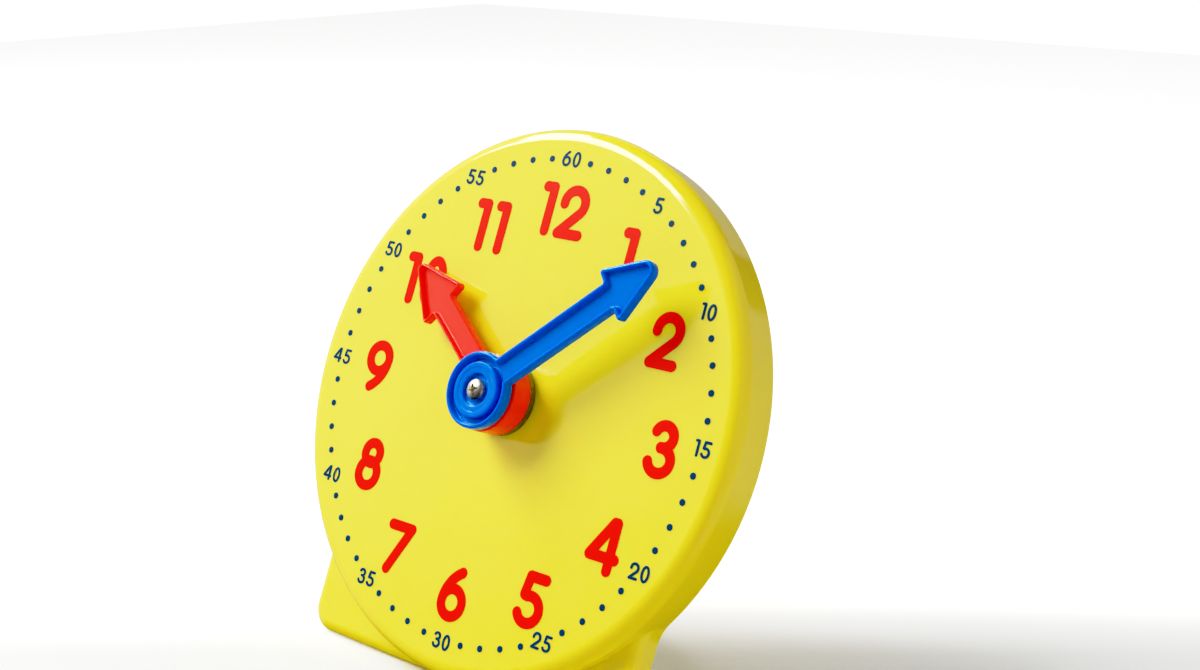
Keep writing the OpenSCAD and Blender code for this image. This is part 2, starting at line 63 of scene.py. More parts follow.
def addCamera():
    data = bpy.data.cameras.new("camera")
    data.lens = cameraView["lens"]
    data.sensor_width = 36
    data.clip_start = 0.01
    camera = bpy.data.objects.new("camera", data)
    camera.location = cameraView["place"]
    camera.rotation_euler = (radians(90 + cameraView["tilt"]), 0, radians(cameraView["heading"]))
    bpy.context.scene.collection.objects.link(camera)
    bpy.context.scene.camera = camera


addCamera()
print("camera placed")


def linear(hexColour):
    parts = [int(hexColour[i:i + 2], 16) / 255 for i in (1, 3, 5)]
    return [p / 12.92 if p <= 0.04045 else ((p + 0.055) / 1.055) ** 2.4 for p in parts] + [1]


def addNode(tree, kind, settings=None, links=None):
    node = tree.nodes.new("ShaderNode" + kind)
    for key, value in (settings or {}).items():
        if isinstance(key, int) or key in node.inputs:
            node.inputs[key].default_value = value
        else:
            setattr(node, key, value)
    for key, source in (links or {}).items():
        tree.links.new(source, node.inputs[key])
    return node


def newFinish(name, settings):
    material = bpy.data.materials.new(name)
    material.use_nodes = True
    tree = material.node_tree
    shader = tree.nodes["Principled BSDF"]
    for key, value in settings.items():
        shader.inputs[key].default_value = value
    return material, tree, shader


def mouldedAbs(name, colours, waviness, depth, glow, sheen):
    # Injection moulded ABS: glossy, a little light enters it, the skin is slightly wavy and finely grained
    material, tree, shader = newFinish(name, {
        "IOR": 1.54, "Subsurface Weight": 0.6, "Subsurface Scale": depth, "Subsurface Radius": glow,
        "Specular Tint": (*sheen, 1)})
    coords = addNode(tree, "TexCoord").outputs["Object"]
    drift = addNode(tree, "TexNoise", {"Scale": 1 / 0.03, "Detail": 2}, {"Vector": coords})
    tint = addNode(tree, "Mix", {"data_type": "RGBA", 6: linear(colours[0]), 7: linear(colours[1])},
                   {0: drift.outputs["Fac"]})
    tree.links.new(tint.outputs[2], shader.inputs["Base Color"])
    rub = addNode(tree, "TexNoise", {"Scale": 1 / 0.006, "Detail": 4}, {"Vector": coords})
    gloss = addNode(tree, "MapRange", {"To Min": 0.06, "To Max": 0.1}, {"Value": rub.outputs["Fac"]})
    tree.links.new(gloss.outputs["Result"], shader.inputs["Roughness"])
    sink = addNode(tree, "TexNoise", {"Scale": 1 / 0.016, "Detail": 1}, {"Vector": coords})
    wave = addNode(tree, "Bump", {"Strength": 0.5 * waviness, "Distance": 0.0004},
                   {"Height": sink.outputs["Fac"]})
    grain = addNode(tree, "TexNoise", {"Scale": 1 / 0.0006, "Detail": 2}, {"Vector": coords})
    skin = addNode(tree, "Bump", {"Strength": 0.12, "Distance": 0.00002},
                   {"Height": grain.outputs["Fac"], "Normal": wave.outputs["Normal"]})
    tree.links.new(skin.outputs["Normal"], shader.inputs["Normal"])
    return material


def printedInk(name, colours):
    # Pad-printed ink: a thin semi-gloss film, a touch uneven in cover
    material, tree, shader = newFinish(name, {"IOR": 1.5, "Specular IOR Level": 0.12})
    coords = addNode(tree, "TexCoord").outputs["Object"]
    cover = addNode(tree, "TexNoise", {"Scale": 1 / 0.0015, "Detail": 3}, {"Vector": coords})
    tint = addNode(tree, "Mix", {"data_type": "RGBA", 6: linear(colours[0]), 7: linear(colours[1])},
                   {0: cover.outputs["Fac"]})
    tree.links.new(tint.outputs[2], shader.inputs["Base Color"])
    gloss = addNode(tree, "MapRange", {"To Min": 0.3, "To Max": 0.4}, {"Value": cover.outputs["Fac"]})
    tree.links.new(gloss.outputs["Result"], shader.inputs["Roughness"])
    film = addNode(tree, "Bump", {"Strength": 0.2, "Distance": 0.00001}, {"Height": cover.outputs["Fac"]})
    tree.links.new(film.outputs["Normal"], shader.inputs["Normal"])
    return material


def workedMetal(name, colours, roughness, lineWidth):
    # Turned or rolled metal: fine tool lines, drawn at lineWidth so that they show, and small stains
    material, tree, shader = newFinish(name, {"Metallic": 1.0})
    coords = addNode(tree, "TexCoord").outputs["Object"]
    blotch = addNode(tree, "TexNoise", {"Scale": 1 / 0.0008, "Detail": 4}, {"Vector": coords})
    stain = addNode(tree, "MapRange", {"From Min": 0.4, "From Max": 0.64}, {"Value": blotch.outputs["Fac"]})
    tint = addNode(tree, "Mix", {"data_type": "RGBA", 6: linear(colours[0]), 7: linear(colours[1])},
                   {0: stain.outputs["Result"]})
    tree.links.new(tint.outputs[2], shader.inputs["Base Color"])
    gloss = addNode(tree, "MapRange", {"To Min": roughness[0], "To Max": roughness[1]},
                    {"Value": stain.outputs["Result"]})
    tree.links.new(gloss.outputs["Result"], shader.inputs["Roughness"])
    lines = addNode(tree, "TexNoise", {"Scale": 1 / lineWidth, "Detail": 2}, {"Vector": coords})
    tooled = addNode(tree, "Bump", {"Strength": 0.35, "Distance": 0.00002}, {"Height": lines.outputs["Fac"]})
    tree.links.new(tooled.outputs["Normal"], shader.inputs["Normal"])
    return material


def gearPlastic(name, colours):
    # Moulded acetal or nylon: satin, slightly waxy
    material, tree, shader = newFinish(name, {
        "IOR": 1.48, "Subsurface Weight": 0.2, "Subsurface Scale": 0.001})
    coords = addNode(tree, "TexCoord").outputs["Object"]
    cloud = addNode(tree, "TexNoise", {"Scale": 1 / 0.008, "Detail": 3}, {"Vector": coords})
    tint = addNode(tree, "Mix", {"data_type": "RGBA", 6: linear(colours[0]), 7: linear(colours[1])},
                   {0: cloud.outputs["Fac"]})
    tree.links.new(tint.outputs[2], shader.inputs["Base Color"])
    grain = addNode(tree, "TexNoise", {"Scale": 1 / 0.0004, "Detail": 2}, {"Vector": coords})
    gloss = addNode(tree, "MapRange", {"To Min": 0.38, "To Max": 0.5}, {"Value": grain.outputs["Fac"]})
    tree.links.new(gloss.outputs["Result"], shader.inputs["Roughness"])
    skin = addNode(tree, "Bump", {"Strength": 0.2, "Distance": 0.00002}, {"Height": grain.outputs["Fac"]})
    tree.links.new(skin.outputs["Normal"], shader.inputs["Normal"])
    return material


finishes = {
    "yellow_abs": mouldedAbs("yellow moulded ABS", ("#ECD83A", "#EAD536"), 1.0, 0.002, (1, 0.55, 0.15),
                             (1, 1, 1)),
    "red_abs": mouldedAbs("red moulded ABS", ("#F84032", "#F43B2E"), 0.4, 0.0012, (1, 0.25, 0.2),
                          (1, 0.4, 0.35)),
    "blue_abs": mouldedAbs("blue moulded ABS", ("#066AD4", "#0666CE"), 0.4, 0.0008, (0.2, 0.4, 1),
                           (0, 0.45, 1)),
    "red_ink": printedInk("red pad-printed ink", ("#F01E0A", "#EA1808")),
    "blue_ink": printedInk("blue pad-printed ink", ("#003E62", "#00385A")),
    "nickel_steel": workedMetal("nickel-plated steel", ("#FBF3E4", "#A89E8E"), (0.28, 0.5), 0.0002),
    "washer_steel": workedMetal("turned steel", ("#9A9386", "#857E71"), (0.28, 0.4), 0.0002),
    "spring_steel": workedMetal("blued spring steel", ("#5A6068", "#454A55"), (0.25, 0.4), 0.0002),
    "bush_brass": workedMetal("turned brass", ("#D9B45C", "#C49C48"), (0.2, 0.32), 0.0002),
    "white_acetal": gearPlastic("moulded acetal", ("#F1F0EA", "#E9E7DF")),
    "white_nylon": gearPlastic("moulded nylon", ("#F3F0E4", "#EAE6D6")),
}
slotOf = {s["node"]: s["material_slot"] for s in frame["record"]["subparts"]}
for nodeName, nodeObject in frame["nodes"].items():
    nodeObject.data.materials.clear()
    nodeObject.data.materials.append(finishes[slotOf[nodeName]])
print("finishes made")


def arc(centre, radius, start, end, steps):
    turns = [radians(start + (end - start) * i / steps) for i in range(steps + 1)]
    return [(centre[0] + radius * cos(t), centre[1] + radius * sin(t)) for t in turns]


def roundCorner(before, corner, after, radius, steps=8):
    here = Vector(corner)
    toBefore = (Vector(before) - here).normalized()
    toAfter = (Vector(after) - here).normalized()
    half = acos(max(-1, min(1, toBefore.dot(toAfter)))) / 2
    middle = here + (toBefore + toAfter).normalized() * radius / sin(half)
    first = here + toBefore * radius / tan(half) - middle
    clockwise = toBefore.x * toAfter.y - toBefore.y * toAfter.x > 0
    sweep = (pi - 2 * half) * (-1 if clockwise else 1)
    turned = [Matrix.Rotation(sweep * i / steps, 2) @ first for i in range(steps + 1)]
    return [tuple(middle + t) for t in turned]


def addLoop(bm, points, z):
    verts = [bm.verts.new((x, y, z)) for x, y in points]
    return [bm.edges.new((verts[i - 1], verts[i])) for i in range(len(verts))]


def loftSolid(outlineAt, levels):
    # A closed solid through outlines of equal point counts; levels are (inset, z)
    bm = bmesh.new()
    loops = [addLoop(bm, outlineAt(inset), z) for inset, z in levels]
    for lower, upper in zip(loops, loops[1:]):
        bmesh.ops.bridge_loops(bm, edges=lower + upper)
    for end in (loops[0], loops[-1]):
        bmesh.ops.contextual_create(bm, geom=end)
    bmesh.ops.recalc_face_normals(bm, faces=bm.faces)
    return bm


def spunSolid(profile, steps=128):
    # profile is (radius, z), closed; points on the axis are welded
    bm = bmesh.new()
    verts = [bm.verts.new((r, 0, z)) for r, z in profile]
    edges = [bm.edges.new((verts[i - 1], verts[i])) for i in range(len(verts))]
    bmesh.ops.spin(bm, geom=verts + edges, cent=(0, 0, 0), axis=(0, 0, 1), angle=2 * pi, steps=steps,
                   use_merge=True, use_normal_flip=False)
    bmesh.ops.remove_doubles(bm, verts=bm.verts, dist=0.0005)
    loose = [e for e in bm.edges if not e.link_faces]
    bmesh.ops.delete(bm, geom=loose, context="EDGES")
    bmesh.ops.recalc_face_normals(bm, faces=bm.faces)
    return bm


def drum(radius, z0, z1, at=(0, 0), topRadius=None, steps=48):
    bm = bmesh.new()
    bmesh.ops.create_cone(bm, cap_ends=True, segments=steps, radius1=radius, depth=z1 - z0,
                          radius2=radius if topRadius is None else topRadius,
                          matrix=Matrix.Translation((at[0], at[1], (z0 + z1) / 2)))
    return bm


def block(low, high):
    bm = bmesh.new()
    size = Vector(high) - Vector(low)
    place = Matrix.Translation((Vector(low) + Vector(high)) / 2) @ Matrix.Diagonal((*size, 1))
    bmesh.ops.create_cube(bm, size=1, matrix=place)
    return bm


def toObject(bm, name):
    mesh = bpy.data.meshes.new(name)
    bm.to_mesh(mesh)
    bm.free()
    piece = bpy.data.objects.new(name, mesh)
    bpy.context.scene.collection.objects.link(piece)
    return piece


def combine(bm, *operations):
    # operations are (kind, tool), kind UNION or DIFFERENCE; the tools are used up
    piece = toObject(bm, "work")
    tools = []
    for kind, toolMesh in operations:
        tool = toObject(toolMesh, "tool")
        modifier = piece.modifiers.new(kind, "BOOLEAN")
        modifier.operation, modifier.object, modifier.solver = kind, tool, "EXACT"
        tools.append(tool)
    shape = piece.evaluated_get(bpy.context.evaluated_depsgraph_get())
    result = bmesh.new()
    result.from_mesh(shape.to_mesh())
    for used in [piece] + tools:
        usedMesh = used.data
        bpy.data.objects.remove(used)
        bpy.data.meshes.remove(usedMesh)
    return result


def finishPiece(bm, name, slotName, body, *nodes, sharp=32, place=None):
    # From dial millimetres to the standing clock, shaded smooth apart from edges over the sharp angle
    bmesh.ops.remove_doubles(bm, verts=bm.verts, dist=0.0008)
    bm.normal_update()
    for face in bm.faces:
        face.smooth = True
    for edge in bm.edges:
        edge.smooth = len(edge.link_faces) == 2 and edge.calc_face_angle(0) < radians(sharp)
    bmesh.ops.transform(bm, matrix=onDial @ (place or Matrix.Identity(4)), verts=bm.verts)
    piece = toObject(bm, name)
    piece.data.materials.append(finishes[slotName])
    flat = piece.modifiers.new("flat faces stay flat", "WEIGHTED_NORMAL")
    flat.keep_sharp = True
    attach(piece, body)
    if nodes:
        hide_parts(*nodes)
    return piece


def quarterRound(radius, inset, z, rising, steps=5):
    # Levels (inset, z) of a rounded edge whose flat side starts at inset, z
    levels = []
    for i in range(steps + 1):
        t = radians(90 * i / steps)
        levels.append((inset + radius * (1 - cos(t)), z + radius * sin(t) * rising))
    return levels


case = {
    "radius": 50.8,          # at the back edge
    "frontRadius": 51.3,
    "depth": 10,
    "rimRound": 2.8,
    "dialPlate": 2,
    "wall": 2.2,
    "seatRadius": 6.2,       # raised ring under the washer
    "boreRadius": 5.2,
    "footWidth": 79,
    "footDrop": 52.2,
    "footSetback": 4.8,
    "footCorner": 4.5,
    "footRound": 2.2,
    "neckRadius": 8.2,
    "rabbet": 1.2,
    "coverThickness": 1.6,
    "coverDrop": 49.7,
}
neckX = case["footWidth"] / 2 + case["neckRadius"]
neckReach = case["radius"] + case["neckRadius"]
neckY = -sqrt(neckReach ** 2 - neckX ** 2)
neckAngle = degrees(atan2(-neckY, -neckX))


def footSide(inset, drop, side):
    # Neck curve, flank and lower corner of one side, from the case down
    r = case["footCorner"] - inset * 0.6
    half = case["footWidth"] / 2 - inset
    neck = arc((neckX, neckY), case["neckRadius"] + inset, neckAngle, 180, 14)
    corner = arc((half - r, r - drop), r, 0, -90, 10)
    return [(side * x, y) for x, y in neck + corner]


def footOutline(inset):
    drop = case["footDrop"] - inset
    right, left = footSide(inset, drop, 1), footSide(inset, drop, -1)
    return [(30, -22)] + right + left[::-1] + [(-30, -22)]


def caseOutline(inset, drop):
    right, left = footSide(inset, drop, 1), footSide(inset, drop, -1)
    start = degrees(atan2(neckY, neckX))
    crown = arc((0, 0), case["radius"] - inset, start, 180 - start, 150)
    return right[::-1] + crown[1:-1] + left


def makeCase():
    c = case
    back, front = -c["depth"], c["frontRadius"]
    rim = arc((front - c["rimRound"], -c["rimRound"]), c["rimRound"], 90, 0, 12)
    seat = c["seatRadius"]
    profile = [(0, 0.2), (seat - 0.15, 0.2), (seat, 0.12), (seat + 0.12, 0)] + rim + [
        (c["radius"] + 0.02, back + 0.3), (c["radius"] - 0.25, back), (0, back)]
    body = spunSolid(profile, 256)
    foot = loftSolid(footOutline, [(0.25, back), (0, back + 0.3)]
                     + quarterRound(c["footRound"], 0, -c["footSetback"] - c["footRound"], 1, 7))
    coverZ = back + c["coverThickness"]
    lip = c["rabbet"]
    rabbet = loftSolid(lambda i: caseOutline(i, c["coverDrop"]), [(lip, back - 1), (lip, coverZ)])
    inner = loftSolid(lambda i: caseOutline(i, c["coverDrop"] - 1.2),
                      [(c["wall"], back - 1), (c["wall"], -c["footSetback"] - c["wall"])])
    hollow = drum(c["radius"] - c["wall"], back - 1, -c["dialPlate"], steps=192)
    bore = drum(c["boreRadius"], -5, 2, steps=96)
    shell = combine(body, ("UNION", foot), ("DIFFERENCE", rabbet), ("DIFFERENCE", inner),
                    ("DIFFERENCE", hollow), ("DIFFERENCE", bore))
    # posts for the cover, the gear bridge and the axle: place, radius, pilot hole, back end
    posts = [(x * s, y, 3, 1.1, coverZ) for x, y in ((36, 26), (31, -31)) for s in (1, -1)]
    posts += [(x, y, 2.6, 0.8, -6.7) for x, y in ((23.5, 13), (-23.5, 13), (0, -25))]
    posts += [(0, 24, 2.2, 1, -2.5)]
    added = [("UNION", drum(r, z, -c["dialPlate"] + 0.5, (x, y))) for x, y, r, pilot, z in posts]
    drilled = [("DIFFERENCE", drum(pilot, z - 1, -c["dialPlate"] + 0.5, (x, y), steps=24))
               for x, y, r, pilot, z in posts]
    shell = combine(shell, *added, *drilled)
    floorPoint = onDial.inverted() @ Vector((0, 0, 0))
    floorNormal = onDial.inverted().to_3x3() @ Vector((0, 0, 1))
    cut = bmesh.ops.bisect_plane(shell, geom=shell.verts[:] + shell.edges[:] + shell.faces[:],
                                 plane_co=floorPoint, plane_no=floorNormal, clear_inner=True)
    edges = [g for g in cut["geom_cut"] if isinstance(g, bmesh.types.BMEdge)]
    bmesh.ops.contextual_create(shell, geom=edges)
    return finishPiece(shell, "case_moulding", "yellow_abs", "case", "front_case")


coverScrewPlaces = ((36, 26), (-36, 26), (31, -31), (-31, -31))
cover = {
    "gap": 0.1,              # to the case all round
    "lugRound": 0.35,
    "screwHole": 1.5, "sinkRadius": 2.8, "sinkDepth": 0.7,
    "scoopRadius": 10, "scoopBack": 9.2,    # finger scoop under the leg's tip
}
stand = {
    "pinRadius": 1,
    "lugFrom": 7.8, "lugTo": 10.8, "lugRadius": 2.7,
    "barrelRadius": 2.1,
    "legLength": 54, "legWidth": 15, "tipWidth": 11, "legThickness": 2.2,
    "heelWidth": 13, "heelThickness": 1.6, "heelLength": 2.8,
}
hingeY, hingeZ = hingeOnDial.y, hingeOnDial.z
tipRadius = stand["legThickness"] / 2
openAngle = lean + acos((hinge["pos_m"][2] / mm - tipRadius) / stand["legLength"])


def alongX(bm, x, y, z):
    # Turns a piece made about the z axis to lie along x, and sets it at x, y, z
    matrix = Matrix.Translation((x, y, z)) @ Matrix.Rotation(pi / 2, 4, "Y")
    bmesh.ops.transform(bm, matrix=matrix, verts=bm.verts)
    return bm


def roundEdges(bm, width, steps=3):
    bmesh.ops.remove_doubles(bm, verts=bm.verts, dist=0.001)
    bm.normal_update()
    edges = [e for e in bm.edges if len(e.link_faces) == 2 and e.calc_face_angle(0) > radians(40)]
    bmesh.ops.bevel(bm, geom=edges, offset=width, offset_type="OFFSET", affect="EDGES", segments=steps,
                    profile=0.5, material=-1, clamp_overlap=True)
    return bm


def makeCover():
    back, gap = -case["depth"], cover["gap"]
    top = back + case["coverThickness"]
    inset, drop = case["rabbet"] + gap, case["coverDrop"] - gap
    plate = loftSolid(lambda i: caseOutline(inset + i, drop - i),
                      [(0.35, back), (0.1, back + 0.1), (0, back + 0.35), (0, top)])
    tools = []
    for side in (-1, 1):
        x = side * (stand["lugFrom"] + stand["lugTo"]) / 2
        half = (stand["lugTo"] - stand["lugFrom"]) / 2
        r = stand["lugRadius"]
        corners = arc((hingeY, hingeZ), r, 180, 360, 24)
        corners += [(hingeY + r, back + 0.5), (hingeY - r, back + 0.5)]
        lug = bmesh.new()
        ring = [lug.verts.new((x - half, y, z)) for y, z in corners]
        face = lug.faces.new(ring)
        pulled = bmesh.ops.extrude_face_region(lug, geom=[face])["geom"]
        bmesh.ops.translate(lug, vec=(2 * half, 0, 0),
                            verts=[v for v in pulled if isinstance(v, bmesh.types.BMVert)])
        bmesh.ops.recalc_face_normals(lug, faces=lug.faces)
        tools.append(("UNION", roundEdges(lug, cover["lugRound"])))
    tools.append(("DIFFERENCE", alongX(drum(stand["pinRadius"], -30, 30), 0, hingeY, hingeZ)))
    for place in coverScrewPlaces:
        tools.append(("DIFFERENCE", drum(cover["screwHole"], back - 1, top + 1, place)))
        tools.append(("DIFFERENCE", drum(cover["sinkRadius"], back - 1, back + cover["sinkDepth"], place)))
    scoop = bmesh.new()
    scoopPlace = Matrix.Translation((0, 3 - stand["legLength"] + hingeY, back - cover["scoopBack"]))
    bmesh.ops.create_uvsphere(scoop, u_segments=128, v_segments=64, radius=cover["scoopRadius"],
                              matrix=scoopPlace)
    tools.append(("DIFFERENCE", scoop))
    finishPiece(combine(plate, *tools), "back_panel", "yellow_abs", "case", "back_cover")


def makeStand():
    s = stand
    length, tip, half = s["legLength"], s["tipWidth"] / 2, s["legWidth"] / 2
    t = tipRadius
    corners = [(half, 0), (half, -10), (tip, -length), (-tip, -length), (-half, -10), (-half, 0)]

    def legOutline(inset):
        return [(x - inset * (1 if x > 0 else -1), y) for x, y in corners]
    leg = loftSolid(legOutline, [(0.5, -t), (0.15, 0.15 - t), (0, 0.5 - t),
                                 (0, t - 0.5), (0.15, t - 0.15), (0.5, t)])
    r = s["barrelRadius"]
    barrel = spunSolid([(0, -half), (r - 0.3, -half), (r, 0.3 - half),
                        (r, half - 0.3), (r - 0.3, half), (0, half)], 64)
    foot = spunSolid([(0, -tip), (t - 0.4, -tip), (t, 0.4 - tip),
                      (t, tip - 0.4), (t - 0.4, tip), (0, tip)], 48)
    heel = block((-s["heelWidth"] / 2, 0, -s["heelThickness"] / 2),
                 (s["heelWidth"] / 2, s["heelLength"], s["heelThickness"] / 2))
    dish = roundEdges(block((2 - tip, 5 - length, -3), (tip - 2, -7, -0.22)), 0.5)
    leg = combine(leg, ("UNION", alongX(barrel, 0, 0, 0)), ("UNION", alongX(foot, 0, -length, 0)),
                  ("UNION", roundEdges(heel, 0.25)), ("DIFFERENCE", dish),
                  ("DIFFERENCE", alongX(drum(s["pinRadius"] + 0.05, -30, 30), 0, 0, 0)))
    atHinge = Matrix.Translation((0, hingeY, hingeZ))
    finishPiece(leg, "easel_leg", "yellow_abs", "stand", "stand_leg",
                place=atHinge @ Matrix.Rotation(openAngle, 4, "X"))
    r, end = s["pinRadius"], s["lugTo"] + 0.3
    pin = spunSolid([(0, -end), (r - 0.15, -end), (r, 0.15 - end), (r, end - 0.25), (1.55, end - 0.25),
                     (1.7, end - 0.1), (1.7, end + 0.15), (1.5, end + 0.35), (0, end + 0.35)], 48)
    finishPiece(alongX(pin, 0, 0, 0), "hinge_pin", "washer_steel", "case", "stand_pin", place=atHinge)


makeCase()
makeCover()
makeStand()
print("case and stand modelled")


def arrowOutline(hand, inset, hubRadius):
    # Arrow that points to 12; with a hub radius it starts as an arc round the hub
    slope = radians(hand["slope"])
    apex = hand["length"] - hand["tip"] + (hand["tip"] - inset) / sin(slope)
    back = hand["back"] + inset
    barb = (apex - back) * tan(slope)
    shaft = hand["shaft"] - inset
    heel = hand["heelRound"] + inset
    barbRound = max(hand["barbRound"] - inset, 0.08)
    head = [(shaft, back, heel), (barb, back, barbRound), (0, apex, max(hand["tip"] - inset, 0.15)),
            (-barb, back, barbRound), (-shaft, back, heel)]
    if hubRadius:
        r = hubRadius - inset
        start = 90 - degrees(asin(shaft / r))
        ring = arc((0, 0), r, 180 - start, 360 + start, 96)
        corners = [(ring[-1][0], ring[-1][1], 0)] + head + [(ring[0][0], ring[0][1], 0)]
    else:
        ring = [(-shaft, hand["armFrom"] + inset), (shaft, hand["armFrom"] + inset)]
        corners = [(*ring[-1], 0)] + head + [(*ring[0], 0)]
    points = list(ring)
    for i in range(1, len(corners) - 1):
        points += roundCorner(corners[i - 1][:2], corners[i][:2], corners[i + 1][:2], corners[i][2])
    return points


def beadLevels(hand, top):
    # Cross-section of the arm's edge, from the underside up over the bead and down to the sunk floor
    w, sunk, bottom = hand["bead"], hand["sunk"], top - hand["thickness"]
    return [(0.2, bottom), (0.06, bottom + 0.06), (0, bottom + 0.2), (0, top - 0.5), (0.04, top - 0.3),
            (0.14, top - 0.14), (0.3, top - 0.04), (w * 0.5, top), (w * 0.62, top - 0.02),
            (w * 0.74, top - 0.1), (w * 0.82, top - 0.24), (w * 0.9, top - sunk + 0.16),
            (w * 0.97, top - sunk + 0.05), (w * 1.12, top - sunk)]


minuteHand = {
    "angle": 49, "length": 42.2, "back": 32, "shaft": 2.78, "slope": 22.5, "tip": 2, "barbRound": 0.7,
    "heelRound": 0.35, "bead": 0.95, "sunk": 1.1, "thickness": 1.8, "top": 8.9,
    "hubRadius": 7.05, "hubBottom": 6.8, "grooveRadius": 5.82, "bossRadius": 5.07,
}
hourHand = {
    "angle": 307, "length": 33.6, "back": 22.8, "shaft": 2.65, "slope": 24.5, "tip": 1.3, "barbRound": 0.75,
    "heelRound": 0.35, "bead": 0.75, "sunk": 1.1, "thickness": 1.8, "top": 4.2, "armFrom": 5.4,
    "hubRadius": 7.15, "hubBottom": 1.75, "hubTop": 6.2,
}


def turned(angle):
    return Matrix.Rotation(-radians(angle), 4, "Z")


def makeMinuteHand():
    h = minuteHand
    arm = loftSolid(lambda i: arrowOutline(h, i, h["hubRadius"]), beadLevels(h, h["top"]))
    groove, boss, r, bottom = h["grooveRadius"], h["bossRadius"], h["hubRadius"] + 0.01, h["hubBottom"]
    hub = spunSolid([
        (1.45, bottom), (r - 0.2, bottom), (r - 0.06, bottom + 0.06), (r, bottom + 0.2),
        (r, 7.6), (r - 0.2, 7.7), (r - 0.4, 7.4), (groove - 0.12, 7.4), (boss + 0.1, 7.4),
        (boss, 7.5), (boss, 8.68), (boss - 0.04, 8.79), (boss - 0.14, 8.85), (boss - 0.25, 8.86),
        (4.15, 8.86), (4.08, 8.84), (4.02, 8.79), (3.9, 8.78), (3.2, 8.78), (3.08, 8.76), (2.98, 8.68),
        (2.95, 8.55), (2.95, 8.25), (2.9, 8.14), (2.8, 8.1), (1.45, 8.1)])
    hand = combine(arm, ("DIFFERENCE", drum(groove, 5, 12, steps=128)), ("UNION", hub))
    return finishPiece(hand, "blue_minute_hand", "blue_abs", "minute", "minute_hand",
                       place=turned(h["angle"]))


def makeHourHand():
    h = hourHand
    arm = loftSolid(lambda i: arrowOutline(h, i, 0), beadLevels(h, h["top"]))
    r, bottom, top = h["hubRadius"], h["hubBottom"], h["hubTop"]
    hub = spunSolid([
        (3.9, bottom - 0.1), (4.8, bottom - 0.1), (4.8, bottom), (r - 0.2, bottom), (r - 0.06, bottom + 0.06),
        (r, bottom + 0.2), (r, top - 0.3), (r - 0.06, top - 0.12), (r - 0.2, top - 0.02), (r - 0.4, top),
        (3.9, top)])
    hand = combine(hub, ("UNION", arm))
    return finishPiece(hand, "red_hour_hand", "red_abs", "hour", "hour_hand", place=turned(h["angle"]))


makeMinuteHand()
makeHourHand()
print("hands modelled")


def crossRecess(reach, width, depth, top):
    # Cutter for a cross recess: two tapered wings and a pointed middle
    wings = []
    for turn in (0, 90):
        bm = bmesh.new()
        matrix = Matrix.Rotation(radians(turn), 4, "Z") @ Matrix.Translation((0, 0, top - depth / 2 + 0.2))
        bmesh.ops.create_cube(bm, size=1, matrix=matrix @ Matrix.Diagonal((2 * reach, width, depth + 0.4, 1)))
        for v in bm.verts:
            if v.co.z < top - depth / 2:
                v.co.x, v.co.y = v.co.x * 0.62, v.co.y * 0.62
        wings.append(bm)
    return wings + [drum(width * 0.35, top - depth * 1.25, top + 0.2, topRadius=width * 1.15, steps=16)]


def panHead(radius, height, shank, length):
    dome = [(radius - 0.12, 0), (radius, 0.14), (radius, height * 0.35)]
    for a in (20, 35, 50, 65, 78):
        dome.append((radius * cos(radians(a)), height * (0.35 + 0.65 * sin(radians(a)))))
    stem = [(0, -length), (shank * 0.7, -length), (shank, -length + 0.3), (shank, 0)]
    head = spunSolid(stem + dome + [(0, height)], 64)
    cutters = crossRecess(radius * 0.6, radius * 0.27, height * 0.62, height)
    return combine(head, *[("DIFFERENCE", c) for c in cutters])


# head radius and height, shank radius and length, seat, turn of each cross in degrees
screws = {
    "hub": {"size": (2, 1.4, 0.75, 5.5), "seat": 8.1, "turns": [20]},
    "cover": {"size": (2.4, 1, 1.05, 5), "seat": -9.3, "turns": [12, 50, 71, 33]},
}


def makeScrews():
    hub, back = screws["hub"], screws["cover"]
    place = Matrix.Translation((0, 0, hub["seat"])) @ Matrix.Rotation(radians(hub["turns"][0]), 4, "Z")
    finishPiece(panHead(*hub["size"]), "hub_screw", "nickel_steel", "minute", "hand_screw", place=place)
    for i, (x, y) in enumerate(coverScrewPlaces):
        screw = panHead(*back["size"])
        facingBack = Matrix.Translation((x, y, back["seat"])) @ Matrix.Rotation(pi, 4, "X")
        place = facingBack @ Matrix.Rotation(radians(back["turns"][i]), 4, "Z")
        finishPiece(screw, f"cover_screw_{i + 1}", "nickel_steel", "case", "cover_screws", place=place)


washer = {"radius": 6.9, "bore": 5.3, "bottom": 0.2, "top": 1.5, "edge": 0.08}


def makeWasher():
    r, bore, bottom, top = washer["radius"], washer["bore"], washer["bottom"], washer["top"]
    edge = washer["edge"]
    ring = spunSolid([(bore, bottom), (r - edge, bottom), (r, bottom + edge),
                      (r, top - edge), (r - edge, top), (bore, top)])
    finishPiece(ring, "steel_washer", "washer_steel", "case", "dial_washer")


makeScrews()
makeWasher()
print("screws and washer modelled")


